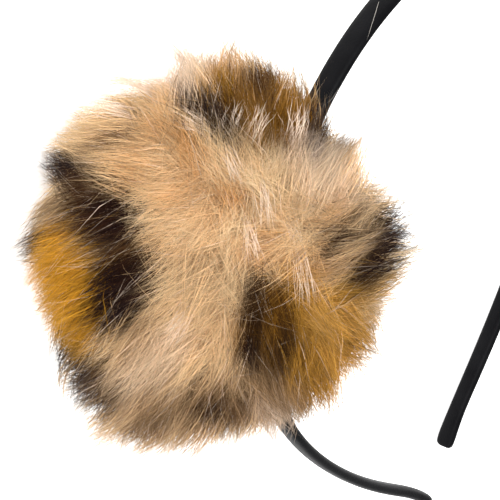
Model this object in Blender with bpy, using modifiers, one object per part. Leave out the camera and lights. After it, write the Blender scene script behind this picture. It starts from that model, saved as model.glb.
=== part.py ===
"""Pompom headband: a narrow cloth covered band with one faux fur pompom on its side, lying on a table.

The band is laid out flat first, its crown towards +Y and its pompom at -X, and then the whole thing is
turned to the way it comes to rest, on the pompom and on two places of the band.
"""

import math

import bmesh
import bpy
import numpy as np
from mathutils import Matrix, Vector

MM = 0.001
RUNNING_GAP = 0.35 * MM

# The band, along its middle line. A place on it is its distance from the middle of the crown:
# minus towards the end on the pompom's side, plus towards the other end.
BAND_LENGTH = 380 * MM
BAND_THICKNESS = 2.6 * MM
CROWN_WIDTH = 6.1 * MM
LEG_WIDTH = 4.0 * MM
CROWN_RADIUS = 59 * MM
CROWN_REACH = 126 * MM
CROWN_BLEND = 15 * MM
POMPOM_LEG_RADIUS = 161 * MM
FREE_LEG_RADIUS = 270 * MM
FLARE_RADIUS = 39 * MM
FLARE_LENGTH = 12 * MM
FLARE_BLEND = 4 * MM
LEG_SPREAD = 4.7 * MM

# The tips, where the cloth is folded over and glued: a little wider, with soft corners.
TIP_LENGTH = 9 * MM
TIP_SWELL = 0.8 * MM
TIP_SWELL_DEEP = TIP_SWELL / 3
TIP_CORNER = 0.9 * MM
TIP_NARROWING = 1.3 * TIP_CORNER

LINE_STEPS = 800
STATION_SPACING = 4.5 * MM
BAND_SIDES = 10
EDGE_ROUNDNESS = 2.7
SHARP_ANGLE = 40

# The pompom sits on the outer face of the band.
POMPOM_PLACE = -67 * MM
POMPOM_RADIUS = 37.6 * MM
POMPOM_STANDOFF = 20.5 * MM
BACK_OVERHANG = 6 * MM
PILE_CRUSH = 2.2 * MM

# The dense pile under the locks, as a share of how far the tips reach in the same direction.
DENSE_SHARE = 0.93
DENSE_COLUMNS = 48
DENSE_ROWS = 28

# The locks are fused to it on a grid this fine, and then this share of the facets is kept.
PILE_GRAIN = 1.2 * MM
PILE_FACETS_KEPT = 0.15

# The band's way through the pile, to each side of the pompom's place, and the table top that crushes it,
# as shares of its radius.
SLOT_SHARE = 1.35
TABLE_SHARE = 4

# The band's edge may dip this far under the table that is found for it, and the table is no steeper
# than this against the band's own plane, as a cosine.
REST_SLACK = 0.25 * MM
LEAST_UP = 0.5

# Its pile is combed away from a whorl on its outer side. Angles are in degrees, azimuth from +X and
# elevation from the plane that the band is laid out in.
WHORL_AZIMUTH = 126
WHORL_ELEVATION = 34
FRONT_AZIMUTH = 134
FRONT_ELEVATION = 30
LOCKS = 120
LOCK_WIDTH = 12 * MM
LOCK_THICKNESS = 6 * MM
LOCK_SIDES = 5
LOCK_SWEEP = 30
LOCK_ROOT_SHARE = 0.88
LOCK_RISE = 1.4
LENGTH_WANDER = 0.02
PLACE_WANDER = 0.05
LOCK_SEED = 11

# A lock from its root to near its tip: how far up it each ring is, and its size as a share of the lock's.
LOCK_RINGS = (
    {"up": 0.00, "size": 0.80},
    {"up": 0.42, "size": 1.00},
    {"up": 0.78, "size": 0.62},
)

# How far the tufts reach round the pompom, seen from its front: clock is the angle from the crown's
# direction, clockwise in degrees, and reach is a share of the pompom's radius.
TUFTS = (
    {"clock": 0, "reach": 1.06},
    {"clock": 28, "reach": 0.95},
    {"clock": 50, "reach": 0.90},
    {"clock": 76, "reach": 1.00},
    {"clock": 114, "reach": 0.97},
    {"clock": 143, "reach": 0.98},
    {"clock": 169, "reach": 0.96},
    {"clock": 204, "reach": 1.08},
    {"clock": 224, "reach": 1.06},
    {"clock": 252, "reach": 0.94},
    {"clock": 277, "reach": 0.98},
    {"clock": 307, "reach": 1.04},
    {"clock": 334, "reach": 0.94},
)

# The loop of elastic that holds the pompom: it is wound round the band and hidden in the pile.
LOOP_LENGTH = 6 * MM
LOOP_THICKNESS = 0.9 * MM

CLOTH_BLACK = (0.012, 0.012, 0.014)
ELASTIC_BLACK = (0.02, 0.02, 0.02)
FUR_TAN = (0.62, 0.40, 0.21)


def clear_scene():
    for thing in list(bpy.data.objects):
        bpy.data.objects.remove(thing, do_unlink=True)


def new_collection(name):
    collection = bpy.data.collections.new(name)
    bpy.context.scene.collection.children.link(collection)
    return collection


def new_material(name, colour, roughness):
    material = bpy.data.materials.new(name)
    material.use_nodes = True
    shader = material.node_tree.nodes["Principled BSDF"]
    shader.inputs["Base Color"].default_value = (*colour, 1)
    shader.inputs["Roughness"].default_value = roughness
    shader.inputs["Metallic"].default_value = 0
    material.diffuse_color = (*colour, 1)
    return material


def new_piece(name, shape, collection, parent, material=None):
    """An object made of a bmesh, which is freed."""
    mesh = bpy.data.meshes.new(name)
    bmesh.ops.recalc_face_normals(shape, faces=shape.faces)
    shape.to_mesh(mesh)
    shape.free()
    piece = bpy.data.objects.new(name, mesh)
    collection.objects.link(piece)
    piece.parent = parent
    if material:
        mesh.materials.append(material)
    return piece


def new_cutter(name, shape, collection, parent):
    cutter = new_piece(name, shape, collection, parent)
    cutter.hide_render = True
    cutter.display_type = "WIRE"
    return cutter


def cut_away(piece, cutter):
    modifier = piece.modifiers.new(cutter.name, "BOOLEAN")
    modifier.operation = "DIFFERENCE"
    modifier.solver = "EXACT"
    modifier.object = cutter


def direction(azimuth, elevation):
    """Unit vector of an azimuth and an elevation in degrees."""
    turn, rise = math.radians(azimuth), math.radians(elevation)
    return Vector((math.cos(turn) * math.cos(rise), math.sin(turn) * math.cos(rise), math.sin(rise)))


def ease(share):
    share = min(max(share, 0), 1)
    return share * share * (3 - 2 * share)


def bend_at(place):
    """Curvature of the band: a round crown, flatter legs, and tips that turn out a little."""
    reach = abs(place)
    leg = 1 / (FREE_LEG_RADIUS if place > 0 else POMPOM_LEG_RADIUS)
    crown_share = 0.5 * (1 - math.tanh((reach - CROWN_REACH) / CROWN_BLEND))
    flare_start = BAND_LENGTH / 2 - FLARE_LENGTH
    flare_share = 0.5 * (1 + math.tanh((reach - flare_start) / FLARE_BLEND))
    return leg + (1 / CROWN_RADIUS - leg) * crown_share - flare_share / FLARE_RADIUS


def band_line():
    """The band's middle line, laid out flat: places, points and headings, summed from its curvature."""
    places = np.linspace(-BAND_LENGTH / 2, BAND_LENGTH / 2, LINE_STEPS + 1)
    crown = LINE_STEPS // 2

    def summed(rates):
        """The running sum of the rates along the line, zero at the crown."""
        sums = np.concatenate([[0], np.cumsum((rates[1:] + rates[:-1]) / 2) * (places[1] - places[0])])
        return sums - sums[crown]

    headings = summed(np.array([bend_at(place) for place in places]))
    return places, summed(np.cos(headings)), summed(-np.sin(headings)), headings


BAND_LINE = band_line()


def station(place):
    """Point, outward direction and width direction of the band at a place."""
    places, xs, ys, headings = BAND_LINE
    heading = float(np.interp(place, places, headings))
    height = -LEG_SPREAD * place / (BAND_LENGTH / 2)
    point = Vector((float(np.interp(place, places, xs)), float(np.interp(place, places, ys)), height))
    outward = Vector((math.sin(heading), math.cos(heading), 0))
    along = Vector((math.cos(heading), -math.sin(heading), -LEG_SPREAD / (BAND_LENGTH / 2))).normalized()
    return point, outward, along.cross(outward)


def band_size_at(place):
    """Width and thickness of the band at a place, with the swelling and the soft corners of its tips."""
    half = BAND_LENGTH / 2
    width = CROWN_WIDTH + (LEG_WIDTH - CROWN_WIDTH) * abs(place) / half
    swell = ease((abs(place) - half + TIP_LENGTH) / TIP_LENGTH)
    corner = max(0, abs(place) - half + TIP_CORNER) / TIP_CORNER
    width += TIP_SWELL * swell - TIP_NARROWING * corner
    return width, BAND_THICKNESS + TIP_SWELL_DEEP * swell - TIP_CORNER * corner


def band_ring(place, spare=0):
    """The flat oval outline of the band at a place, made larger all round by the spare."""
    point, outward, across = station(place)
    width, thickness = band_size_at(place)
    ring = []
    for side in range(BAND_SIDES):
        angle = math.pi / 2 + 2 * math.pi * (side + 0.5) / BAND_SIDES
        wide = math.copysign(abs(math.cos(angle)) ** (2 / EDGE_ROUNDNESS), math.cos(angle))
        deep = math.copysign(abs(math.sin(angle)) ** (2 / EDGE_ROUNDNESS), math.sin(angle))
        ring.append(point + across * wide * (width / 2 + spare) + outward * deep * (thickness / 2 + spare))
    return ring


def loft(shape, rings, caps=True):
    """Skins a row of rings with the same number of points, and closes its ends."""
    rows = [[shape.verts.new(point) for point in ring] for ring in rings]
    for near, far in zip(rows, rows[1:]):
        for side in range(len(near)):
            after = (side + 1) % len(near)
            shape.faces.new((near[side], near[after], far[after], far[side]))
    if caps:
        shape.faces.new(rows[0])
        shape.faces.new(rows[-1])
    return rows


def places_between(start, end, spacing):
    return np.linspace(start, end, max(2, round((end - start) / spacing) + 1))


def make_headband(collection, parent, material):
    """The covered band, one solid from tip to tip."""
    half = BAND_LENGTH / 2
    middle = places_between(-half + TIP_CORNER, half - TIP_CORNER, STATION_SPACING)
    # An odd number of stretches leaves one flat facet centred on the crown.
    if len(middle) % 2:
        middle = np.linspace(middle[0], middle[-1], len(middle) + 1)
    shape = bmesh.new()
    loft(shape, [band_ring(place) for place in (-half, *middle, half)])
    return new_piece("headband", shape, collection, parent, material)


def make_elastic_loop(collection, parent, material):
    """The elastic, a short sleeve round the band."""
    start, end = POMPOM_PLACE - LOOP_LENGTH / 2, POMPOM_PLACE + LOOP_LENGTH / 2
    places = places_between(start, end, STATION_SPACING / 2)
    shape = bmesh.new()
    loft(shape, [band_ring(place, RUNNING_GAP) for place in places], caps=False)
    loop = new_piece("elastic_loop", shape, collection, parent, material)
    wall = loop.modifiers.new("wall", "SOLIDIFY")
    wall.thickness = LOOP_THICKNESS
    wall.offset = 1
    wall.use_even_offset = True
    return loop


def pompom_centre():
    point, outward, _ = station(POMPOM_PLACE)
    return point + outward * POMPOM_STANDOFF


def tuft_reach(heading):
    """Share of the radius that the pile reaches in a direction, from the tufts round its outline."""
    front = direction(FRONT_AZIMUTH, FRONT_ELEVATION)
    twelve = (Vector((0, 1, 0)) - front * front.y).normalized()
    three = twelve.cross(front)
    clock = math.degrees(math.atan2(heading.dot(three), heading.dot(twelve))) % 360
    clocks = [tuft["clock"] for tuft in TUFTS] + [360]
    reaches = [tuft["reach"] for tuft in TUFTS] + [TUFTS[0]["reach"]]
    side_on = 1 - heading.dot(front) ** 2
    return 1 + (float(np.interp(clock, clocks, reaches)) - 1) * side_on


def pile_reach(heading, outward):
    """Distance from the pompom's centre to its surface in a direction. Behind the band it is pressed flat."""
    reach = POMPOM_RADIUS * tuft_reach(heading)
    inward = -heading.dot(outward)
    if inward > 0:
        reach = min(reach, (POMPOM_STANDOFF + BACK_OVERHANG) / inward)
    return reach


def swept(heading, turn):
    """A direction turned away from the whorl by an angle in radians, less the nearer it is to the whorl."""
    axis = direction(WHORL_AZIMUTH, WHORL_ELEVATION).cross(heading)
    if axis.length < 1e-4:
        return heading
    return Matrix.Rotation(turn * axis.length, 3, axis) @ heading


def add_lock(shape, centre, heading, outward, length_share):
    """One flattened, tapered lock of pile with its tip at a heading, rooted nearer the whorl than its tip."""
    turn = math.radians(LOCK_SWEEP)
    tip_reach = pile_reach(heading, outward) * length_share
    root_heading = swept(heading, -turn)
    root_reach = pile_reach(root_heading, outward) * DENSE_SHARE * LOCK_ROOT_SHARE
    rings = []
    tip = centre + heading * tip_reach
    for row in LOCK_RINGS:
        radial = swept(heading, -turn * (1 - row["up"] ** LOCK_RISE))
        point = centre + radial * (root_reach + (tip_reach - root_reach) * row["up"])
        lean = (tip - point).normalized()
        across = lean.cross(radial)
        across = across.normalized() if across.length > 1e-3 else lean.orthogonal().normalized()
        deep = across.cross(lean)
        ring = []
        for side in range(LOCK_SIDES):
            angle = 2 * math.pi * side / LOCK_SIDES
            wide = across * math.cos(angle) * LOCK_WIDTH / 2
            ring.append(point + (wide + deep * math.sin(angle) * LOCK_THICKNESS / 2) * row["size"])
        rings.append(ring)
    skinned = loft(shape, rings, caps=False)
    shape.faces.new(skinned[0])
    end = shape.verts.new(tip)
    last = skinned[-1]
    for side in range(LOCK_SIDES):
        shape.faces.new((last[side], last[(side + 1) % LOCK_SIDES], end))


def lock_headings(random):
    """Directions spread evenly over the ball by the golden angle, each moved a little."""
    golden = math.pi * (3 - math.sqrt(5))
    for index in range(LOCKS):
        height = 1 - 2 * (index + 0.5) / LOCKS
        flat = math.sqrt(1 - height * height)
        even = Vector((flat * math.cos(golden * index), flat * math.sin(golden * index), height))
        yield (even + Vector(random.normal(0, PLACE_WANDER, 3))).normalized()


def make_pompom(collection, cutters, parent, material, floor):
    """The faux fur ball: a dense core with its locks fused to it, open behind where the band lies in it."""
    centre = pompom_centre()
    _, outward, _ = station(POMPOM_PLACE)
    pile = bmesh.new()
    bmesh.ops.create_uvsphere(pile, u_segments=DENSE_COLUMNS, v_segments=DENSE_ROWS, radius=1)
    for vertex in pile.verts:
        heading = vertex.co.normalized()
        vertex.co = centre + heading * pile_reach(heading, outward) * DENSE_SHARE
    random = np.random.default_rng(LOCK_SEED)
    for heading in lock_headings(random):
        add_lock(pile, centre, heading, outward, 1 + random.normal(0, LENGTH_WANDER))
    pompom = new_piece("pompom", pile, collection, parent, material)

    fuse = pompom.modifiers.new("fuse", "REMESH")
    fuse.mode = "VOXEL"
    fuse.voxel_size = PILE_GRAIN
    thin = pompom.modifiers.new("thin", "DECIMATE")
    thin.ratio = PILE_FACETS_KEPT
    cut_away(pompom, make_band_slot("band_slot", 0, POMPOM_RADIUS * SLOT_SHARE, cutters, parent))
    loop_spare = RUNNING_GAP + LOOP_THICKNESS
    cut_away(pompom, make_band_slot("loop_slot", loop_spare, LOOP_LENGTH / 2 + RUNNING_GAP, cutters, parent))
    cut_away(pompom, make_floor_cutter(floor, cutters, parent))
    keep_largest_body(pompom)
    return pompom


def keep_largest_body(piece):
    """Applies a piece's modifiers and removes the lock tips that its cuts left loose."""
    bpy.context.view_layer.update()
    seen = piece.evaluated_get(bpy.context.evaluated_depsgraph_get())
    shape = bmesh.new()
    shape.from_mesh(seen.data)
    waiting = set(shape.verts)
    bodies = []
    while waiting:
        found = [waiting.pop()]
        for vertex in found:
            near = {edge.other_vert(vertex) for edge in vertex.link_edges} & waiting
            waiting -= near
            found.extend(near)
        bodies.append(found)
    bodies.sort(key=len)
    loose = [vertex for body in bodies[:-1] for vertex in body]
    bmesh.ops.delete(shape, geom=loose, context="VERTS")
    piece.modifiers.clear()
    shape.to_mesh(piece.data)
    shape.free()


def make_band_slot(name, spare, reach, cutters, parent):
    """The way in which the band lies in the pile, a reach each way of the pompom's place, open inwards."""
    gap = spare + RUNNING_GAP
    rings = []
    for place in places_between(POMPOM_PLACE - reach, POMPOM_PLACE + reach, STATION_SPACING):
        point, outward, across = station(place)
        width, thickness = band_size_at(place)
        half_width, top, shoulder = width / 2 + gap, thickness / 2 + gap, thickness / 4
        outline = (
            (-half_width, -POMPOM_RADIUS),
            (half_width, -POMPOM_RADIUS),
            (half_width, top - shoulder),
            (half_width - shoulder, top),
            (shoulder - half_width, top),
            (-half_width, top - shoulder),
        )
        rings.append([point + across * wide + outward * deep for wide, deep in outline])
    shape = bmesh.new()
    loft(shape, rings)
    return new_cutter(name, shape, cutters, parent)


def make_floor_cutter(floor, cutters, parent):
    """The table top, which crushes the lowest tips of the pile flat."""
    size = TABLE_SHARE * POMPOM_RADIUS
    shape = bmesh.new()
    bmesh.ops.create_cube(shape, size=size, matrix=floor @ Matrix.Translation((0, 0, -size / 2)))
    return new_cutter("table_top", shape, cutters, parent)


def resting_floor():
    """The floor under the thing as laid out flat: a frame whose Z is up, on the pompom and two band points.

    For each pair of points along the band's edges it finds the plane through both that touches the crushed
    ball from below, and keeps the one that all the rest of the band lies above, with the widest stand.
    """
    ball, radius = np.array(pompom_centre()), POMPOM_RADIUS - PILE_CRUSH
    places = places_between(-BAND_LENGTH / 2 + TIP_CORNER, BAND_LENGTH / 2 - TIP_CORNER, STATION_SPACING)
    edges = np.array([point for place in places for point in band_ring(place)])
    outline = np.array([min(band_ring(place), key=lambda point: point.z) for place in places])
    best_stand, best = 0, None
    for first in range(len(outline)):
        for second in range(first + 1, len(outline)):
            line = outline[second] - outline[first]
            stand = np.linalg.norm(line)
            if stand <= best_stand:
                continue
            line = line / stand
            to_ball = ball - outline[first]
            off_line = to_ball - line * (to_ball @ line)
            distance = np.linalg.norm(off_line)
            if distance <= radius:
                continue
            towards = off_line / distance
            lean = math.acos(radius / distance)
            for turn in (-lean, lean):
                up = towards * math.cos(turn) + np.cross(line, towards) * math.sin(turn)
                below = ((edges - outline[first]) @ up).min()
                if up[2] > LEAST_UP and below > -REST_SLACK:
                    best_stand, best = stand, (up, outline[first])
    up, point = Vector(best[0]), Vector(best[1])
    forward = (Vector((0, 1, 0)) - up * up.y).normalized()
    lowest = min((Vector(edge) - point).dot(up) for edge in edges)
    centre = pompom_centre()
    floor = Matrix((forward.cross(up), forward, up)).transposed().to_4x4()
    floor.translation = centre - up * (centre - point).dot(up) + up * lowest
    return floor


def corners_of(pieces):
    """Lowest and highest corner of the pieces as they are seen."""
    bpy.context.view_layer.update()
    graph = bpy.context.evaluated_depsgraph_get()
    points = []
    for piece in pieces:
        seen = piece.evaluated_get(graph)
        points += [seen.matrix_world @ vertex.co for vertex in seen.data.vertices]
    points = np.array(points)
    return points.min(axis=0), points.max(axis=0)


def build():
    clear_scene()
    parts = new_collection("pompom_headband")
    cutters = new_collection("cutters")
    rest = bpy.data.objects.new("rest", None)
    parts.objects.link(rest)

    cloth = new_material("black_band_cloth", CLOTH_BLACK, 0.6)
    elastic = new_material("black_elastic", ELASTIC_BLACK, 0.8)
    fur = new_material("leopard_faux_fur", FUR_TAN, 0.85)

    floor = resting_floor()
    pieces = [
        make_headband(parts, rest, cloth),
        make_elastic_loop(parts, rest, elastic),
        make_pompom(parts, cutters, rest, fur, floor),
    ]
    for piece in pieces:
        piece.data.shade_smooth()
        piece.data.set_sharp_from_angle(angle=math.radians(SHARP_ANGLE))

    # Turned to rest on the floor, then moved so that the middle of its lowest face is the origin.
    rest.matrix_world = floor.inverted()
    low, high = corners_of(pieces)
    middle = Vector(((low[0] + high[0]) / 2, (low[1] + high[1]) / 2, low[2]))
    rest.matrix_world = Matrix.Translation(-middle) @ floor.inverted()


build()
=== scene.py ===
"""Pompom headband lying on a white table: a black cloth band with one leopard print faux fur pompom."""
import math

import bpy
import numpy as np
from mathutils import Matrix, Vector
from mathutils.bvhtree import BVHTree
from mathutils.kdtree import KDTree


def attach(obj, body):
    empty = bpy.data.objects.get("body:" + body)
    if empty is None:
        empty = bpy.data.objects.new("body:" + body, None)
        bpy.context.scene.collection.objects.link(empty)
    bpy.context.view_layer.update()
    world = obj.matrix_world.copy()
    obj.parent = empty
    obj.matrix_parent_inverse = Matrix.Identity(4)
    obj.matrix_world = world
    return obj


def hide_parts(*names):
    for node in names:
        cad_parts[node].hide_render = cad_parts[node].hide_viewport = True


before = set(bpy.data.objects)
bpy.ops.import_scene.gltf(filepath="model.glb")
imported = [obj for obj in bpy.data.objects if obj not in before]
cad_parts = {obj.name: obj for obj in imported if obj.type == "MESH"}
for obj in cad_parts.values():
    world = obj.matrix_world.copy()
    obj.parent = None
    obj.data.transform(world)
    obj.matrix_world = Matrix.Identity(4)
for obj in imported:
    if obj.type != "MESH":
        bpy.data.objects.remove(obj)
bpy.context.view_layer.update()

# The camera, a long lens that looks down on the pompom from above its own side of the table. It is
# rolled, as the photograph shows the headband standing although it lies on its side.
CAMERA_PLACE = Vector((-0.37488, 0.41123, 0.48706))
CAMERA_LOOK = Vector((0.49794, -0.55728, -0.66446)).normalized()
CAMERA_UP = Vector((0.44356, 0.82205, -0.35705))
CAMERA_RIGHT = CAMERA_LOOK.cross(CAMERA_UP).normalized()
CAMERA_UP = CAMERA_RIGHT.cross(CAMERA_LOOK)
FRAME_PIXELS = 500
camera_lens = bpy.data.cameras.new("camera")
camera_lens.sensor_width = 36
camera_lens.lens = 247.6
camera_lens.clip_start = 0.05
camera = bpy.data.objects.new("camera", camera_lens)
bpy.context.collection.objects.link(camera)
camera.matrix_world = Matrix((CAMERA_RIGHT, CAMERA_UP, -CAMERA_LOOK)).transposed().to_4x4()
camera.matrix_world.translation = CAMERA_PLACE
bpy.context.scene.camera = camera
bpy.context.scene.view_settings.view_transform = "Standard"


# The table top, a plain white board in a white room. It is lit by one large softbox over the camera's
# side, by a weaker one from the other side and by the room's white walls.
def linear(hex_colour):
    """Linear RGBA of an sRGB hex colour."""
    shares = [int(hex_colour[i:i + 2], 16) / 255 for i in (1, 3, 5)]
    return tuple(s / 12.92 if s <= 0.04045 else ((s + 0.055) / 1.055) ** 2.4 for s in shares) + (1.0,)


def add_node(material, kind, settings=None, **links):
    """A node with its settings, and its inputs given as numbers or as (node, output) links."""
    node = material.node_tree.nodes.new(kind)
    for name, value in (settings or {}).items():
        setattr(node, name, value)
    for name, value in links.items():
        socket = node.inputs[int(name[1:])] if name[1:].isdigit() else node.inputs[name.replace("_", " ")]
        if isinstance(value, tuple) and isinstance(value[0], bpy.types.Node):
            material.node_tree.links.new(value[0].outputs[value[1]], socket)
        else:
            socket.default_value = value
    return node


def new_material(name, roughness, **sockets):
    """A material on the Principled shader, with constant values on its sockets."""
    material = bpy.data.materials.new(name)
    material.use_nodes = True
    shader = material.node_tree.nodes["Principled BSDF"]
    shader.inputs["Roughness"].default_value = roughness
    for socket, value in sockets.items():
        shader.inputs[socket.replace("_", " ")].default_value = value
    return material, shader


TABLE_RADIUS = 4
ROOM_GLOW = 0.7
LIT_PLACE = Vector((-0.03, 0.02, 0.03))

bpy.ops.mesh.primitive_circle_add(vertices=96, radius=TABLE_RADIUS, fill_type="NGON", location=(0, 0, 0))
table_top = bpy.context.object
table_top.name = "table_top"
# Melamine laminate, pressed matte: an even white with no clear reflection. It glows a little, as an
# overlit table does in such a photograph.
board, board_shader = new_material("white_laminate_board", 0.75)
board_shader.inputs["Base Color"].default_value = linear("#F7F7F6")
board_shader.inputs["Emission Color"].default_value = linear("#FFFFFF")
board_shader.inputs["Emission Strength"].default_value = ROOM_GLOW
table_top.data.materials.append(board)


def add_softbox(name, place, size, watts):
    """A square area light aimed at the pompom."""
    light = bpy.data.lights.new(name, "AREA")
    light.size = size
    light.energy = watts
    lamp = bpy.data.objects.new(name, light)
    bpy.context.collection.objects.link(lamp)
    lamp.location = place
    lamp.rotation_euler = (LIT_PLACE - Vector(place)).to_track_quat("-Z", "Y").to_euler()


add_softbox("softbox_over_camera", (-0.35, 0.75, 1.0), 0.6, 19)
add_softbox("softbox_fill", (-0.9, -0.35, 0.9), 0.8, 7)
room = bpy.data.worlds.new("white_room")
room.use_nodes = True
room.node_tree.nodes["Background"].inputs["Color"].default_value = linear("#FFFFFF")
room.node_tree.nodes["Background"].inputs["Strength"].default_value = ROOM_GLOW
bpy.context.scene.world = room


# The headband's cover, black satin-backed cloth wrapped tightly over a springy core and glued inside.
# It is the CAD's band with its facets smoothed into round edges.
DOUBLES_APART = 0.00001
WEAVE_SPACING = 0.0005
WEAVE_DEPTH = 0.0002
BLOOM_SIZE = 0.00625


def start_piece(name, mesh):
    """A new object on its own, selected and active."""
    bpy.ops.object.select_all(action="DESELECT")
    piece = bpy.data.objects.new(name, mesh)
    bpy.context.collection.objects.link(piece)
    piece.select_set(True)
    bpy.context.view_layer.objects.active = piece
    return piece


band_cover = start_piece("band_cover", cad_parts["headband"].data.copy())
band_cover.data.materials.clear()
bpy.ops.object.mode_set(mode="EDIT")
bpy.ops.mesh.select_all(action="SELECT")
bpy.ops.mesh.remove_doubles(threshold=DOUBLES_APART)
bpy.ops.mesh.tris_convert_to_quads(face_threshold=math.radians(50), shape_threshold=math.radians(60))
bpy.ops.mesh.normals_make_consistent(inside=False)
bpy.ops.object.mode_set(mode="OBJECT")
rounding = band_cover.modifiers.new("rounding", "SUBSURF")
rounding.levels = rounding.render_levels = 2
bpy.ops.object.modifier_apply(modifier="rounding")
bpy.ops.object.shade_smooth()

# Polyester satin, dyed black: a fine even weave that reads as matte, with a grey bloom along the edges.
band_cloth, cloth_shader = new_material(
    "black_polyester_satin", 0.45, Specular_IOR_Level=0.05, Sheen_Weight=0.01, Sheen_Roughness=0.4, IOR=1.5
)
cloth_shader.inputs["Sheen Tint"].default_value = linear("#B9B4C8")
places = add_node(band_cloth, "ShaderNodeTexCoord")
# Threads 0.25 mm apart would be too fine to show, so the weave is drawn at 0.5 mm.
weave = add_node(
    band_cloth, "ShaderNodeTexNoise", None,
    Vector=(places, "Object"), Scale=1 / WEAVE_SPACING, Detail=2.0, Roughness=0.6,
)
bloom = add_node(
    band_cloth, "ShaderNodeTexNoise", None,
    Vector=(places, "Object"), Scale=1 / BLOOM_SIZE, Detail=4.0, Roughness=0.55,
)
shades = add_node(band_cloth, "ShaderNodeValToRGB", None, Fac=(bloom, "Fac"))
shades.color_ramp.elements[0].position = 0.3
shades.color_ramp.elements[0].color = linear("#08080A")
shades.color_ramp.elements[1].position = 0.75
shades.color_ramp.elements[1].color = linear("#101012")
band_cloth.node_tree.links.new(shades.outputs["Color"], cloth_shader.inputs["Base Color"])
grain = add_node(
    band_cloth, "ShaderNodeBump", None, Height=(weave, "Fac"), Strength=0.35, Distance=WEAVE_DEPTH
)
band_cloth.node_tree.links.new(grain.outputs["Normal"], cloth_shader.inputs["Normal"])
band_cover.data.materials.append(band_cloth)
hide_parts("headband")
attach(band_cover, "root")

# The loop of black elastic, wound round the band and tied into the pompom's backing, which it holds. The
# pile hides it. It is the CAD's own node.
RIB_SPACING = 0.01 / 9

# Rubber threads in a knitted cover: dull, with fine ribs that break its black up into greys.
elastic, elastic_shader = new_material("black_rubber_elastic", 0.8)
ribs = add_node(
    elastic, "ShaderNodeTexNoise", None,
    Vector=(add_node(elastic, "ShaderNodeTexCoord"), "Object"), Scale=1 / RIB_SPACING, Detail=3.0,
)
ribs_shades = add_node(elastic, "ShaderNodeValToRGB", None, Fac=(ribs, "Fac"))
ribs_shades.color_ramp.elements[0].color = linear("#121212")
ribs_shades.color_ramp.elements[1].color = linear("#2A2A2A")
elastic.node_tree.links.new(ribs_shades.outputs["Color"], elastic_shader.inputs["Base Color"])
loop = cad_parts["elastic_loop"]
loop.data.materials.clear()
loop.data.materials.append(elastic)


# The pompom's ball, a round of faux fur's knitted backing gathered over polyester filling and drawn
# flat behind, where it is tied down on the band.
POMPOM_CENTRE = Vector((-0.04585, 0.03751, 0.03557))
POMPOM_RADIUS = 0.0376
POMPOM_OUTWARD = Vector((-0.892, 0.403, 0.204)).normalized()
BACK_DEPTH = 0.0265
BALL_RADIUS = 0.0225
BALL_BACK = 0.0172

bpy.ops.object.select_all(action="DESELECT")
bpy.ops.mesh.primitive_uv_sphere_add(segments=48, ring_count=24, radius=BALL_RADIUS, location=(0, 0, 0))
ball = bpy.context.object
ball.name = "pompom_ball"
bpy.ops.object.mode_set(mode="EDIT")
bpy.ops.mesh.select_all(action="SELECT")
bpy.ops.mesh.bisect(
    plane_co=-POMPOM_OUTWARD * BALL_BACK, plane_no=-POMPOM_OUTWARD, use_fill=True, clear_outer=True
)
bpy.ops.mesh.select_all(action="SELECT")
bpy.ops.transform.translate(value=POMPOM_CENTRE)
bpy.ops.object.mode_set(mode="OBJECT")
bpy.ops.object.shade_smooth()


# The pile, acrylic faux fur about 20 mm long, brushed away from a whorl on the outer side and printed
# with a leopard's spots. Thousands of tapered strands grow from the ball and gather into locks.
#
# Directions from the pompom's centre are worked out facing the camera: across to the right, up the
# picture and towards the camera, in shares of the pompom's radius.
FACING = np.array(Matrix((CAMERA_RIGHT, CAMERA_UP, -CAMERA_LOOK)))
OUTWARD = FACING @ np.array(POMPOM_OUTWARD)

# Clock is the angle round the picture, clockwise from its top. Reach is how far the tips go there as a
# share of the radius, and comb is how far the hair turns from straight away from the whorl, in degrees.
ROUND_THE_POMPOM = (
    {"clock": 0, "reach": 1.07, "comb": 0},
    {"clock": 18, "reach": 1.07, "comb": -7},
    {"clock": 27, "reach": 1.00, "comb": -10},
    {"clock": 46, "reach": 0.88, "comb": -18},
    {"clock": 53, "reach": 1.00, "comb": -24},
    {"clock": 60, "reach": 0.87, "comb": -32},
    {"clock": 72, "reach": 1.01, "comb": -46},
    {"clock": 80, "reach": 1.08, "comb": -52},
    {"clock": 100, "reach": 1.06, "comb": -40},
    {"clock": 110, "reach": 0.97, "comb": -24},
    {"clock": 122, "reach": 1.01, "comb": -10},
    {"clock": 135, "reach": 0.98, "comb": -3},
    {"clock": 147, "reach": 1.04, "comb": 0},
    {"clock": 164, "reach": 1.00, "comb": 0},
    {"clock": 185, "reach": 1.06, "comb": 3},
    {"clock": 200, "reach": 1.16, "comb": 8},
    {"clock": 212, "reach": 1.18, "comb": 6},
    {"clock": 232, "reach": 1.06, "comb": 0},
    {"clock": 241, "reach": 0.96, "comb": -3},
    {"clock": 262, "reach": 0.97, "comb": -15},
    {"clock": 270, "reach": 1.03, "comb": -22},
    {"clock": 288, "reach": 0.93, "comb": -17},
    {"clock": 300, "reach": 1.03, "comb": -12},
    {"clock": 311, "reach": 1.02, "comb": -20},
    {"clock": 327, "reach": 0.90, "comb": -24},
    {"clock": 336, "reach": 0.95, "comb": -17},
    {"clock": 343, "reach": 0.93, "comb": -8},
    {"clock": 352, "reach": 1.06, "comb": -3},
)
WHORL = np.array((0.26, 0.19, 0.947))
LEAST_INWARD = 1e-3
COMB_FADES = 0.6


def round_the_pompom(headings, column):
    """A column of the table, read at each heading's clock."""
    clocks = np.degrees(np.arctan2(headings[:, 0], headings[:, 1])) % 360
    rows = list(ROUND_THE_POMPOM) + [dict(ROUND_THE_POMPOM[0], clock=360)]
    return np.interp(clocks, [row["clock"] for row in rows], [row[column] for row in rows])


def unit(vectors):
    return vectors / np.linalg.norm(vectors, axis=-1, keepdims=True)


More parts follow.
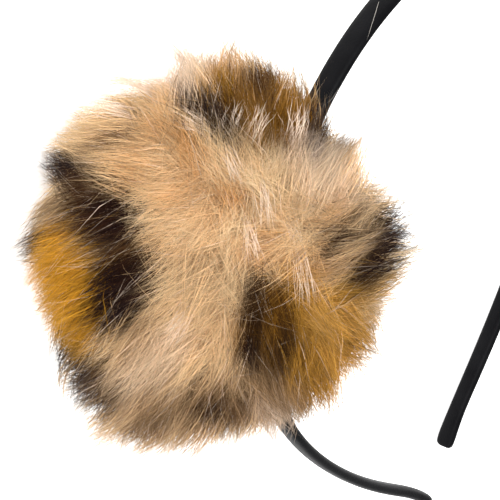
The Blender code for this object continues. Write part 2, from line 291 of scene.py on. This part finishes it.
def even_headings(count, random, wander):
    """Directions spread evenly over the ball by the golden angle, each moved a little."""
    index = np.arange(count) + 0.5
    height = 1 - 2 * index / count
    turn = math.pi * (1 + math.sqrt(5)) * index
    flat = np.sqrt(1 - height ** 2)
    even = np.stack([flat * np.cos(turn), flat * np.sin(turn), height], axis=1)
    return unit(even + random.normal(0, wander, (count, 3)))


def pile_reach(headings):
    """How far the pile goes in each direction. Behind the band it is pressed flat."""
    side_on = 1 - headings[:, 2] ** 2
    reach = 1 + (round_the_pompom(headings, "reach") - 1) * side_on
    inward = np.maximum(-(headings @ OUTWARD), LEAST_INWARD)
    return np.minimum(reach, BACK_DEPTH / POMPOM_RADIUS / inward)


def combed(headings):
    """The way that the hair lies at each heading, along the ball's surface."""
    away = headings - WHORL
    away = away - headings * np.sum(away * headings, axis=1, keepdims=True)
    away = unit(away + 1e-6)
    side = np.cross(headings, away)
    turn = np.radians(-round_the_pompom(headings, "comb"))[:, None]
    turn = turn * np.clip(headings[:, 2:] + COMB_FADES, 0, 1)
    return unit(away * np.cos(turn) + side * np.sin(turn))


# The print is spots of dye on the cream and tan of the ground, charted from the front. Across and up
# are the middle of a spot and long and wide its half sizes, all in hundredths of the radius. Turn is
# the tilt of its long side in degrees, anticlockwise, and soak is how much of its dye takes. A later spot
# covers an earlier one.
DYES = {
    "cream": "#F0D3A8",
    "tan": "#CE9A62",
    "amber": "#C58339",
    "ochre": "#C38C28",
    "gold": "#865A14",
    "brown": "#45290F",
    "dark": "#241206",
    "grey": "#302016",
    "greige": "#A98660",
    "oat": "#DDBD92",
    "pale": "#F8DFC8",
}
PRINT = (
    {"across": -24, "up": -48, "long": 50, "wide": 26, "turn": 45, "dye": "oat", "soak": 0.6},
    {"across": -34, "up": -62, "long": 26, "wide": 11, "turn": 50, "dye": "pale", "soak": 0.35},
    {"across": -38, "up": -46, "long": 13, "wide": 8, "turn": 60, "dye": "greige", "soak": 0.65},
    {"across": -12, "up": 57, "long": 12, "wide": 7, "turn": -50, "dye": "gold", "soak": 0.3},
    {"across": -62, "up": 62, "long": 34, "wide": 16, "turn": 35, "dye": "oat", "soak": 0.5},
    {"across": -54, "up": 57, "long": 15, "wide": 9, "turn": 20, "dye": "greige", "soak": 0.35},
    {"across": -6, "up": 20, "long": 16, "wide": 9, "turn": -60, "dye": "amber", "soak": 0.25},
    {"across": 24, "up": 2, "long": 13, "wide": 8, "turn": 10, "dye": "amber", "soak": 0.35},
    {"across": -16, "up": 97, "long": 20, "wide": 11, "turn": 14, "dye": "pale", "soak": 0.65},
    {"across": 29, "up": 77, "long": 29, "wide": 18, "turn": -22, "dye": "gold", "soak": 0.95},
    {"across": 0, "up": 83, "long": 13, "wide": 8, "turn": 40, "dye": "ochre", "soak": 0.8},
    {"across": 46, "up": 68, "long": 15, "wide": 12, "turn": -40, "dye": "gold", "soak": 0.9},
    {"across": 24, "up": 92, "long": 8, "wide": 7, "turn": 0, "dye": "brown", "soak": 0.9},
    {"across": 9, "up": 84, "long": 8, "wide": 6, "turn": -30, "dye": "brown", "soak": 0.7},
    {"across": 30, "up": 72, "long": 20, "wide": 6, "turn": -65, "dye": "brown", "soak": 0.4},
    {"across": -2, "up": 74, "long": 17, "wide": 8, "turn": -25, "dye": "dark", "soak": 1.0},
    {"across": 8, "up": 64, "long": 14, "wide": 5, "turn": -50, "dye": "grey", "soak": 0.6},
    {"across": 55, "up": 63, "long": 14, "wide": 6, "turn": 88, "dye": "dark", "soak": 0.9},
    {"across": 33, "up": -88, "long": 14, "wide": 8, "turn": -30, "dye": "pale", "soak": 0.9},
    {"across": 70, "up": 57, "long": 8, "wide": 4, "turn": 50, "dye": "brown", "soak": 0.8},
    {"across": 62, "up": 42, "long": 24, "wide": 12, "turn": -30, "dye": "pale", "soak": 0.4},
    {"across": 52, "up": -6, "long": 16, "wide": 10, "turn": 0, "dye": "amber", "soak": 0.25},
    {"across": 76, "up": -4, "long": 20, "wide": 10, "turn": 20, "dye": "brown", "soak": 0.25},
    {"across": 87, "up": -18, "long": 16, "wide": 7, "turn": 10, "dye": "ochre", "soak": 0.6},
    {"across": 95, "up": 5, "long": 17, "wide": 8, "turn": 72, "dye": "dark", "soak": 1.0},
    {"across": 82, "up": -8, "long": 12, "wide": 7, "turn": 50, "dye": "dark", "soak": 0.95},
    {"across": 91, "up": 18, "long": 11, "wide": 3, "turn": 28, "dye": "dark", "soak": 0.9},
    {"across": 67, "up": 6, "long": 12, "wide": 4, "turn": 33, "dye": "dark", "soak": 1.0},
    {"across": 69, "up": 16, "long": 12, "wide": 2, "turn": 30, "dye": "brown", "soak": 0.9},
    {"across": 80, "up": -20, "long": 9, "wide": 4, "turn": 10, "dye": "brown", "soak": 0.6},
    {"across": 60, "up": -50, "long": 38, "wide": 26, "turn": -55, "dye": "ochre", "soak": 0.85},
    {"across": 44, "up": -60, "long": 34, "wide": 12, "turn": -80, "dye": "gold", "soak": 0.6},
    {"across": 34, "up": -19, "long": 12, "wide": 5, "turn": 0, "dye": "brown", "soak": 0.9},
    {"across": 29, "up": -45, "long": 20, "wide": 15, "turn": -80, "dye": "gold", "soak": 0.9},
    {"across": 29, "up": -37, "long": 17, "wide": 13, "turn": -80, "dye": "brown", "soak": 0.45},
    {"across": 21, "up": -37, "long": 24, "wide": 6, "turn": 88, "dye": "dark", "soak": 0.85},
    {"across": 38, "up": -50, "long": 14, "wide": 5, "turn": 85, "dye": "dark", "soak": 0.85},
    {"across": 18, "up": -56, "long": 7, "wide": 5, "turn": 0, "dye": "dark", "soak": 1.0},
    {"across": 31, "up": -67, "long": 11, "wide": 5, "turn": -65, "dye": "dark", "soak": 0.8},
    {"across": -8, "up": -84, "long": 46, "wide": 16, "turn": 8, "dye": "greige", "soak": 0.7},
    {"across": 1, "up": -84, "long": 17, "wide": 9, "turn": -4, "dye": "brown", "soak": 0.85},
    {"across": -2, "up": -85, "long": 7, "wide": 6, "turn": 0, "dye": "dark", "soak": 0.9},
    {"across": -34, "up": -92, "long": 13, "wide": 6, "turn": 15, "dye": "brown", "soak": 0.7},
    {"across": -68, "up": -65, "long": 24, "wide": 10, "turn": -58, "dye": "dark", "soak": 1.0},
    {"across": -50, "up": -72, "long": 16, "wide": 8, "turn": -50, "dye": "greige", "soak": 0.35},
    {"across": -77, "up": -20, "long": 29, "wide": 15, "turn": -75, "dye": "ochre", "soak": 1.0},
    {"across": -49, "up": -22, "long": 22, "wide": 14, "turn": 62, "dye": "dark", "soak": 1.0},
    {"across": -53, "up": 3, "long": 15, "wide": 9, "turn": -15, "dye": "brown", "soak": 0.95},
    {"across": -61, "up": 18, "long": 20, "wide": 12, "turn": -40, "dye": "dark", "soak": 1.0},
    {"across": -76, "up": 15, "long": 14, "wide": 8, "turn": -20, "dye": "brown", "soak": 0.65},
    {"across": -76, "up": 42, "long": 14, "wide": 8, "turn": -22, "dye": "dark", "soak": 1.0},
    {"across": -68, "up": 32, "long": 9, "wide": 6, "turn": -50, "dye": "brown", "soak": 0.8},
    {"across": -58, "up": 55, "long": 7, "wide": 3, "turn": 35, "dye": "brown", "soak": 0.9},
    {"across": -88, "up": 22, "long": 10, "wide": 5, "turn": 20, "dye": "brown", "soak": 0.3},
    {"across": -99, "up": 0, "long": 12, "wide": 5, "turn": 76, "dye": "grey", "soak": 1.0},
    {"across": -25, "up": 63, "long": 8, "wide": 4, "turn": 0, "dye": "amber", "soak": 0.3},
    {"across": -9, "up": 46, "long": 17, "wide": 6, "turn": -70, "dye": "amber", "soak": 0.4},
    {"across": 11, "up": 27, "long": 10, "wide": 6, "turn": -35, "dye": "amber", "soak": 0.7},
)

# The ground's share of tan: its mean, its slow drift over the ball, its clouds and its grain.
TAN_MEAN, TAN_DRIFT, TAN_CLOUDS, TAN_GRAIN = 0.37, 0.14, 0.24, 0.14

# A spot's dye is full out to its half sizes and gone at SPOT_ENDS of them. Its edge has 7 ripples.
SPOT_ENDS = 1.3
SPOT_FADE = 0.3
SPOT_RIPPLES = 7
RIPPLE_DEPTH = 0.1
SPOT_GRAIN = 0.08
SPOTS_BEHIND = -0.25


def dyed(places, random):
    """Colour of the print at places facing the camera. Round the back it repeats as plain rosettes."""
    count = len(places)
    drift = np.sin(places @ np.array((5.1, 2.3, 3.7))) + np.sin(places @ np.array((-3.3, 6.1, 2.9)) + 1.0)
    clouds = np.sin(places @ np.array((13.0, 8.0, 6.0)))
    clouds = clouds * np.sin(places @ np.array((-9.0, 16.0, 5.0)) + 0.5)
    share = TAN_MEAN + TAN_DRIFT * drift + TAN_CLOUDS * clouds + random.normal(0, TAN_GRAIN, count)
    share = np.clip(share, 0, 1)[:, None]
    shades = {name: np.array(linear(value)[:3]) for name, value in DYES.items()}
    colours = shades["cream"] * (1 - share) + shades["tan"] * share
    for spot in PRINT:
        middle = np.array((spot["across"], spot["up"])) / 100
        turn = math.radians(spot["turn"])
        off = places[:, :2] - middle
        along = (off @ np.array((math.cos(turn), math.sin(turn)))) / (spot["long"] / 100)
        aside = (off @ np.array((-math.sin(turn), math.cos(turn)))) / (spot["wide"] / 100)
        ripple = RIPPLE_DEPTH * np.sin(SPOT_RIPPLES * np.arctan2(aside, along) + spot["across"])
        distance = np.sqrt(along ** 2 + aside ** 2) + ripple + random.normal(0, SPOT_GRAIN, count)
        takes = np.clip((SPOT_ENDS - distance) / SPOT_FADE, 0, 1) * spot["soak"]
        takes = takes * (places[:, 2] > SPOTS_BEHIND)
        colours = colours * (1 - takes[:, None]) + shades[spot["dye"]] * takes[:, None]
    return back_print(places, colours, shades, random)


# The rosettes behind, in degrees round the ball from their middles.
ROSETTES = 30
HEART_ENDS, HEART_FADE, HEART_SOAK = 11, 4, 0.8
RIM_MIDDLE, RIM_REACH, RIM_FADE = 12, 5, 3
ROSETTE_GRAIN = 1.2
ROSETTES_FROM, ROSETTES_FADE = 0.12, 0.2


def back_print(places, colours, shades, random):
    """The print where the photograph doesn't show it: rosettes with an ochre middle and broken rims."""
    middles = even_headings(ROSETTES, np.random.default_rng(5), 0.1)
    headings = unit(places)
    nearness = headings @ middles.T
    nearest = nearness.argmax(axis=1)
    distance = np.degrees(np.arccos(np.clip(nearness.max(axis=1), -1, 1)))
    distance = distance + random.normal(0, ROSETTE_GRAIN, len(places))
    off = headings - middles[nearest]
    clock = np.arctan2(off @ np.array((0.3, 0.9, 0.1)), off @ np.array((0.8, -0.2, 0.5)))
    broken = np.sin(3 * clock + nearest) > -0.35
    behind = np.clip(-(places[:, 2] + ROSETTES_FROM) / ROSETTES_FADE, 0, 1)
    heart = np.clip((HEART_ENDS - distance) / HEART_FADE, 0, 1) * HEART_SOAK * behind
    rim = np.clip((RIM_REACH - np.abs(distance - RIM_MIDDLE)) / RIM_FADE, 0, 1) * broken * behind
    colours = colours * (1 - heart[:, None]) + shades["ochre"] * heart[:, None]
    return colours * (1 - rim[:, None]) + shades["dark"] * rim[:, None]


# The locks that the pile falls into and the finer tufts in them, each a little longer or shorter than
# the rest and leaning its own way. A tuft also has its own tone.
LOCKS, LOCK_WANDER, LOCK_LENGTH_SPREAD, LOCK_LEAN = 420, 0.03, 0.035, 0.14
TUFTS, TUFT_WANDER, TUFT_LENGTH_SPREAD, TUFT_LEAN = 3000, 0.012, 0.02, 0.18
TUFT_TONE_SPREAD = 0.17
lock_random = np.random.default_rng(3)
lock_middles = even_headings(LOCKS, lock_random, LOCK_WANDER)
tuft_middles = even_headings(TUFTS, lock_random, TUFT_WANDER)
lock_lengths = lock_random.normal(0, LOCK_LENGTH_SPREAD, LOCKS)
lock_leans = lock_random.normal(0, LOCK_LEAN, (LOCKS, 3))
tuft_lengths = lock_random.normal(0, TUFT_LENGTH_SPREAD, TUFTS)
tuft_leans = lock_random.normal(0, TUFT_LEAN, (TUFTS, 3))
tuft_tones = lock_random.normal(1, TUFT_TONE_SPREAD, TUFTS)


def nearest_of(headings, middles):
    """Index of the nearest middle to each heading."""
    tree = KDTree(len(middles))
    for index, middle in enumerate(middles):
        tree.insert(middle, index)
    tree.balance()
    return np.array([tree.find(heading)[1] for heading in headings])


# Strands root deep in the ball, at shares of the radius, and bow a little to one side. They draw together
# towards the middles of their lock and tuft, and more so low on the right, where the pile is spiky.
WHORL_SPREAD = 0.12
LOCKS_CROSS, TUFTS_CROSS = 4, 3
ROOT_REACH, ROOT_SHARE = 0.58, 0.9
SWEEP_WANDER, SWEEP_CURVE = 0.15, 1.3
RISE_CURVE, GATHER_CURVE = 0.9, 2
BOW = 0.018
LOCK_GATHER, LOCK_SPIKE = 0.14, 0.32
TUFT_GATHER, TUFT_SPIKE = 0.38, 0.4


def grow_strands(headings, shares, lengths, sweep, mess, random):
    """Rings along each strand, facing the camera: an array of strands by rings by three.

    Mess is how far single hairs stray from the way that their tuft is combed. Round the whorl the
    tufts themselves cross each other.
    """
    lock, tuft = nearest_of(headings, lock_middles), nearest_of(headings, tuft_middles)
    whorled = np.exp(-np.sum((headings - WHORL) ** 2, axis=1, keepdims=True) / WHORL_SPREAD)
    leans = combed(headings) + lock_leans[lock] * (1 + LOCKS_CROSS * whorled)
    leans = leans + tuft_leans[tuft] * (1 + TUFTS_CROSS * whorled)
    leans = leans + random.normal(0, mess, headings.shape) * (1 + whorled)
    leans = unit(leans - headings * np.sum(leans * headings, axis=1, keepdims=True))
    side = np.cross(headings, leans)
    reach = pile_reach(headings) * (1 + lock_lengths[lock] + tuft_lengths[tuft]) * lengths
    root = np.minimum(ROOT_REACH, ROOT_SHARE * reach)
    turn = np.radians(sweep) * random.normal(1, SWEEP_WANDER, len(headings))
    bow = random.normal(0, BOW, len(headings))
    spiky = np.clip(headings[:, 0] - 0.6 * headings[:, 1], 0, 1)
    gather_lock = (LOCK_GATHER + LOCK_SPIKE * spiky)[:, None] * (lock_middles[lock] - headings)
    gather_tuft = (TUFT_GATHER + TUFT_SPIKE * spiky)[:, None] * (tuft_middles[tuft] - headings)
    rings = []
    for share in shares:
        angle = (turn * (1 - share ** SWEEP_CURVE))[:, None]
        radial = headings * np.cos(angle) - leans * np.sin(angle)
        ring = radial * (root + (reach - root) * share ** RISE_CURVE)[:, None]
        ring = ring + side * (bow * math.sin(math.pi * share))[:, None]
        rings.append(ring + (gather_lock + gather_tuft) * share ** GATHER_CURVE)
    return np.stack(rings, axis=1)


def in_the_world(facing):
    return facing * POMPOM_RADIUS @ FACING + np.array(POMPOM_CENTRE)


band_tree = BVHTree.FromObject(band_cover, bpy.context.evaluated_depsgraph_get())
BAND_SEARCH = 0.02
BAND_GAP = 0.0003


def clear_of_band(points):
    """Which strands have every ring outside the band by the gap."""
    keep = np.ones(len(points), bool)
    for index, strand in enumerate(points):
        for ring in strand[1:]:
            place, normal, _, distance = band_tree.find_nearest(ring, BAND_SEARCH)
            if place is None:
                continue
            if distance < BAND_GAP or (Vector(ring) - place).dot(normal) < 0:
                keep[index] = False
                break
    return keep


# A strand has three sides. In the bake map they stand in a square cell of its own, over its root's face.
SIDES = 3
CELL_MARGIN = 0.06
CELL_FOOT, CELL_TOP = 0.12, 0.99
ROOT_FACE = ((0.05, 0.01), (0.95, 0.01), (0.5, 0.09))


def strand_mesh(name, points, widths, colours):
    """Closed, tapered strands as one mesh, with their dye and a bake map of one cell each."""
    strands, rings = points.shape[:2]
    ahead = unit(np.gradient(points, axis=1))
    up = points - np.array(POMPOM_CENTRE)
    across = unit(np.cross(ahead, up))
    deep = np.cross(across, ahead)
    body = rings - 1
    angles = 2 * math.pi * np.arange(SIDES) / SIDES + math.pi / 2
    offsets = (
        across[:, :body, None, :] * np.cos(angles)[None, None, :, None]
        + deep[:, :body, None, :] * np.sin(angles)[None, None, :, None]
    )
    skin = points[:, :body, None, :] + offsets * widths[:, :body, None, None] / 2
    each = body * SIDES + 1
    vertices = np.concatenate([skin.reshape(strands, -1, 3), points[:, -1:, :]], axis=1)
    tints = np.concatenate([np.repeat(colours[:, :body], SIDES, axis=1), colours[:, -1:]], axis=1)

    faces, cells = [], []
    for ring in range(body - 1):
        for side in range(SIDES):
            after = (side + 1) % SIDES
            low, high = ring * SIDES, (ring + 1) * SIDES
            faces.append((low + side, low + after, high + after, high + side))
            left, right = (side + CELL_MARGIN) / SIDES, (side + 1 - CELL_MARGIN) / SIDES
            bottom, top = [CELL_FOOT + (1 - CELL_FOOT) * step / body for step in (ring, ring + 1)]
            cells.append(((left, bottom), (right, bottom), (right, top), (left, top)))
    for side in range(SIDES):
        after, low = (side + 1) % SIDES, (body - 1) * SIDES
        faces.append((low + side, low + after, body * SIDES))
        left, right = (side + CELL_MARGIN) / SIDES, (side + 1 - CELL_MARGIN) / SIDES
        bottom = CELL_FOOT + (1 - CELL_FOOT) * (body - 1) / body
        cells.append(((left, bottom), (right, bottom), ((left + right) / 2, CELL_TOP)))
    faces.append(tuple(range(SIDES))[::-1])
    cells.append(ROOT_FACE)

    corners = np.concatenate([np.array(face) for face in faces])
    sizes = np.array([len(face) for face in faces])
    loops = (corners[None, :] + each * np.arange(strands)[:, None]).ravel()
    starts = np.concatenate([[0], np.cumsum(np.tile(sizes, strands))[:-1]])
    mesh = bpy.data.meshes.new(name)
    mesh.vertices.add(strands * each)
    mesh.vertices.foreach_set("co", vertices.astype(np.float32).ravel())
    mesh.loops.add(len(loops))
    mesh.loops.foreach_set("vertex_index", loops.astype(np.int32))
    mesh.polygons.add(len(starts))
    mesh.polygons.foreach_set("loop_start", starts.astype(np.int32))
    mesh.polygons.foreach_set("use_smooth", np.ones(len(starts), bool))
    mesh.update(calc_edges=True)

    grid = math.ceil(math.sqrt(strands))
    corner = np.array([spot for cell in cells for spot in cell])
    column, row = np.arange(strands) % grid, np.arange(strands) // grid
    spread = (corner[None] + np.stack([column, row], axis=1)[:, None]) / grid
    bake_map = mesh.uv_layers.new(name="OFBake")
    bake_map.uv.foreach_set("vector", spread.astype(np.float32).ravel())
    dye = mesh.color_attributes.new("dye", "FLOAT_COLOR", "POINT")
    rgba = np.concatenate([tints.reshape(-1, 3), np.ones((strands * each, 1))], axis=1)
    dye.data.foreach_set("color", rgba.astype(np.float32).ravel())
    mesh.validate()
    return mesh


# Acrylic pile: soft fibres with little gloss, each in the dye that it was printed with.
faux_fur, fur_shader = new_material("printed_acrylic_pile", 0.6, IOR=1.5, Specular_IOR_Level=0.06)
dye_node = add_node(faux_fur, "ShaderNodeVertexColor", {"layer_name": "dye"})
faux_fur.node_tree.links.new(dye_node.outputs["Color"], fur_shader.inputs["Base Color"])

# Round the back, which the photograph doesn't show, half the strands are left out and the rest are wider.
BACK_FROM = -0.2
BACK_SHARE = 0.5
BACK_WIDTH = 1.35
# Some hairs stray over the edge of their spot, and some took little dye.
STRAY_SHARE, STRAYED, UNSTRAYED = 0.1, 0.09, 0.012
UNDYED_PALE = 0.7
# Each hair has its own tone, painted shade towards its root and a painted highlight towards its tip, and
# is no lighter or darker than cloth can be.
TONE_SPREAD = 0.2
ROOT_PAINTED_SHADE, TIP_PAINTED_HIGHLIGHT = 0.72, 1.08
LIGHTEST, DARKEST = 0.93, 0.004
# Hairs that reach the table lie on it, one over another.
LIE_FROM, LIE_DEPTH = 0.0003, 0.0009


def fur_piece(name, points, widths, colours):
    """A piece of pile made of the strands."""
    piece = start_piece(name, strand_mesh(name, points, widths, colours))
    piece.data.materials.append(faux_fur)
    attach(piece, "root")
    return piece


def tapered(shares, width, random, count):
    """Width at each ring: nearly even, then drawn to a fine tip."""
    taper = np.interp(shares, (0, 0.3, 0.75, 1), (0.8, 1.0, 0.75, 0))
    return width * taper[None, :] * random.uniform(0.75, 1.25, (count, 1))


def grow_pile(name, count, seed, shares, lengths, width, sweep, mess, undyed, window=None):
    """One piece of the pile: its strands, clear of the band and above the table."""
    random = np.random.default_rng(seed)
    headings = even_headings(count, random, 0.02)
    headings = headings[(headings[:, 2] > BACK_FROM) | (random.uniform(0, 1, count) < BACK_SHARE)]
    if window is not None:
        headings = headings[window(headings)]
    low, high = lengths
    reaches = random.uniform(low, high, len(headings))
    strands = grow_strands(headings, shares, reaches, sweep, mess, random)
    points = in_the_world(strands)
    lowest = LIE_FROM + LIE_DEPTH * random.uniform(0, 1, points.shape[:1])[:, None]
    points[:, :, 2] = np.maximum(points[:, :, 2], lowest)
    keep = clear_of_band(points)
    points, strands, headings = points[keep], strands[keep], headings[keep]
    stray = random.uniform(0, 1, len(points)) < STRAY_SHARE
    astray = np.where(stray, STRAYED, UNSTRAYED)[:, None, None]
    wander = random.normal(0, 1, (len(points), 1, 3)) * astray
    # A hair is printed mostly where its tip lies, and a little further back along it.
    seen = 0.3 * strands + 0.3 * strands[:, -2:-1] + 0.4 * strands[:, -1:] + wander
    colours = dyed(seen.reshape(-1, 3), random).reshape(len(points), len(shares), 3)
    pale = random.uniform(0, 1, len(points)) < undyed
    pale_dye = np.array(linear(DYES["pale"])[:3])
    colours[pale] = (1 - UNDYED_PALE) * colours[pale] + UNDYED_PALE * pale_dye
    tone = random.normal(1, TONE_SPREAD, len(points)) * tuft_tones[nearest_of(headings, tuft_middles)]
    # Painted shade at the root, fading along the hair to a painted highlight at the tip.
    tone = tone[:, None] * (ROOT_PAINTED_SHADE + (TIP_PAINTED_HIGHLIGHT - ROOT_PAINTED_SHADE) * np.array(shares))
    colours = colours * tone[:, :, None]
    # The brightest hairs are held back as a whole, because one channel cut off alone would tint them.
    brightest = np.maximum(colours.max(axis=2, keepdims=True), LIGHTEST)
    colours = np.maximum(colours * LIGHTEST / brightest, DARKEST)
    widths = tapered(shares, width, random, len(points))
    widths = widths * np.where(headings[:, 2:] > BACK_FROM, 1, BACK_WIDTH)
    return fur_piece(name, points, widths, colours)


def crown_side(headings):
    return headings[:, 1] > 0


def tip_side(headings):
    return headings[:, 1] <= 0


def round_whorl(headings):
    return headings @ WHORL > 0.75


# From the short, thick undercoat to the long, fine hairs: how many strands a whole ball would have, the
# seed, the rings, the shortest and longest, the width, the sweep in degrees, the mess, the share that is
# undyed, and the side.
SHORT = (0, 0.55, 1)
LONG = (0, 0.38, 0.72, 1)
FINE = (0, 0.3, 0.55, 0.8, 1)
pile_pieces = [
    grow_pile("pile_undercoat", 16000, 10, SHORT, (0.72, 0.93), 0.00030, 24, 0.13, 0.0),
    grow_pile("pile_crown_side", 26000, 20, LONG, (0.90, 1.0), 0.00018, 30, 0.2, 0.02, crown_side),
    grow_pile("pile_tip_side", 26000, 20, LONG, (0.90, 1.0), 0.00018, 30, 0.2, 0.02, tip_side),
    grow_pile(
        "pile_top_coat_crown_side", 26000, 30, LONG, (0.94, 1.03), 0.00013, 34, 0.28, 0.03, crown_side
    ),
    grow_pile(
        "pile_top_coat_tip_side", 26000, 30, LONG, (0.94, 1.03), 0.00013, 34, 0.28, 0.03, tip_side
    ),
    grow_pile("pile_guard_hairs", 5500, 40, FINE, (0.96, 1.05), 0.00009, 32, 0.24, 0.025),
    grow_pile("pile_fuzz", 26000, 45, FINE, (0.93, 1.02), 0.00009, 38, 0.8, 0.05, round_whorl),
]

# The wisps, long pale hairs of the pile that were brushed over it and lie across the rest. Each has the
# place of its roots and of its tips, in hundredths of the radius, and its number of hairs.
WISPS = (
    {"root_across": 17, "root_up": 20, "tip_across": 22, "tip_up": -4, "hairs": 28},
    {"root_across": 37, "root_up": 18, "tip_across": 48, "tip_up": -27, "hairs": 26},
    {"root_across": 23, "root_up": 38, "tip_across": 29, "tip_up": 12, "hairs": 22},
    {"root_across": 4, "root_up": 55, "tip_across": 15, "tip_up": 33, "hairs": 26},
    {"root_across": -24, "root_up": 78, "tip_across": -56, "tip_up": 88, "hairs": 60},
    {"root_across": -40, "root_up": 70, "tip_across": -66, "tip_up": 71, "hairs": 40},
    {"root_across": -8, "root_up": 92, "tip_across": -20, "tip_up": 108, "hairs": 60},
    {"root_across": -4, "root_up": -22, "tip_across": -20, "tip_up": -44, "hairs": 40},
    {"root_across": 18, "root_up": 48, "tip_across": 27, "tip_up": 71, "hairs": 34},
    {"root_across": 42, "root_up": 50, "tip_across": 44, "tip_up": 71, "hairs": 34},
    {"root_across": 8, "root_up": 52, "tip_across": 14, "tip_up": 71, "hairs": 24},
    {"root_across": 7, "root_up": 50, "tip_across": -14, "tip_up": 69, "hairs": 34},
)
# How far out a wisp starts and ends and how it rises between, then how its hairs part, waver and differ.
WISP_ROOT, WISP_TIP, WISP_RISE = 0.86, 1.04, 0.17
ROOT_SCATTER, TIP_SCATTER, WISP_WAVE = 0.03, 0.035, 0.004
WISP_TONE, WISP_TONE_SPREAD = 0.88, 0.14


def on_the_ball(across, up, reach):
    """Points facing the camera, at shares of the radius across and up, pushed out or in to a reach."""
    flat = np.stack([across, up], axis=1)
    spare = np.sqrt(np.maximum(reach ** 2 - np.sum(flat ** 2, axis=1), 0))
    return np.concatenate([flat, spare[:, None]], axis=1)


def lay_wisps(name, seed, width):
    """The wisps as strands that rise from the pile and lie on it."""
    random = np.random.default_rng(seed)
    shares = np.array(FINE)
    runs = []
    for wisp in WISPS:
        count = wisp["hairs"]
        root = on_the_ball(
            wisp["root_across"] / 100 + random.normal(0, ROOT_SCATTER, count),
            wisp["root_up"] / 100 + random.normal(0, ROOT_SCATTER, count), WISP_ROOT,
        )
        tip = on_the_ball(
            wisp["tip_across"] / 100 + random.normal(0, TIP_SCATTER, count),
            wisp["tip_up"] / 100 + random.normal(0, TIP_SCATTER, count), WISP_TIP,
        )
        runs.append(np.stack([root + (tip - root) * share for share in shares], axis=1))
    strands = np.concatenate(runs)
    reach = WISP_ROOT + WISP_RISE * np.sin(shares * math.pi / 2)[None, :, None]
    strands = unit(strands) * np.maximum(reach, np.linalg.norm(strands, axis=-1, keepdims=True))
    strands[:, 1:-1] += random.normal(0, WISP_WAVE, strands[:, 1:-1].shape)
    points = in_the_world(strands)
    points = points[clear_of_band(points)]
    tone = random.normal(WISP_TONE, WISP_TONE_SPREAD, (len(points), 1, 1))
    shade = np.array(linear(DYES["pale"])[:3]) * tone
    colours = np.clip(np.broadcast_to(shade, points.shape), 0.01, 0.95)
    return fur_piece(name, points, tapered(FINE, width, random, len(points)), colours)


pile_pieces.append(lay_wisps("pile_pale_wisps", 50, 0.00009))

# The stray fibres, single hairs that the pile has shed and that cling to the cloth of the band. Each is
# given by the pixels of the picture that it crosses.
STRAY_FIBRES = (
    {"across": (379, 375, 370, 366), "down": (2, 15, 30, 42)},
    {"across": (344, 340, 331, 322), "down": (84, 86, 100, 107)},
    {"across": (318, 316, 314), "down": (90, 97, 104)},
)
STRAY_WIDTH = 0.00009
STRAY_RINGS = 9


def on_the_band(across, down, last):
    """The point of the band that a pixel shows, or one as far off as the last where it shows none."""
    pixels = FRAME_PIXELS * camera_lens.lens / camera_lens.sensor_width
    aside, above = across - FRAME_PIXELS / 2, FRAME_PIXELS / 2 - down
    ray = CAMERA_LOOK * pixels + CAMERA_RIGHT * aside + CAMERA_UP * above
    ray.normalize()
    place, normal, _, _ = band_tree.ray_cast(CAMERA_PLACE, ray)
    if place is None:
        return CAMERA_PLACE + ray * (last - CAMERA_PLACE).length
    return place + normal * STRAY_WIDTH


stray_runs = []
for fibre in STRAY_FIBRES:
    crossed = []
    for across, down in zip(fibre["across"], fibre["down"]):
        crossed.append(on_the_band(across, down, crossed[-1] if crossed else POMPOM_CENTRE))
    steps = np.linspace(0, len(crossed) - 1, STRAY_RINGS)
    stray_runs.append(
        np.stack([np.interp(steps, range(len(crossed)), axis) for axis in zip(*crossed)], axis=1)
    )
stray_points = np.stack(stray_runs)
stray_colours = np.broadcast_to(np.array(linear("#B8B2AA")[:3]), stray_points.shape)
stray_rings = np.linspace(0, 1, STRAY_RINGS)
stray_widths = tapered(stray_rings, STRAY_WIDTH, np.random.default_rng(60), len(stray_points))
pile_pieces.append(fur_piece("stray_fibres", stray_points, stray_widths, stray_colours))

# Knitted backing: dull, in patches of the print's brown and tan where the dye has soaked through. It
# shows only in the partings of the pile.
STAIN_SPACING = 0.1 / 9

backing, backing_shader = new_material("dyed_knit_backing", 0.9)
stain = add_node(
    backing, "ShaderNodeTexNoise", None,
    Vector=(add_node(backing, "ShaderNodeTexCoord"), "Object"), Scale=1 / STAIN_SPACING, Detail=3.0,
)
stain_shades = add_node(backing, "ShaderNodeValToRGB", None, Fac=(stain, "Fac"))
stain_shades.color_ramp.elements[0].position = 0.35
stain_shades.color_ramp.elements[0].color = linear("#5E4630")
stain_shades.color_ramp.elements[1].position = 0.65
stain_shades.color_ramp.elements[1].color = linear("#A98558")
backing.node_tree.links.new(stain_shades.outputs["Color"], backing_shader.inputs["Base Color"])
ball.data.materials.append(backing)
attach(ball, "root")
for pile in pile_pieces + [ball]:
    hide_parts("pompom")
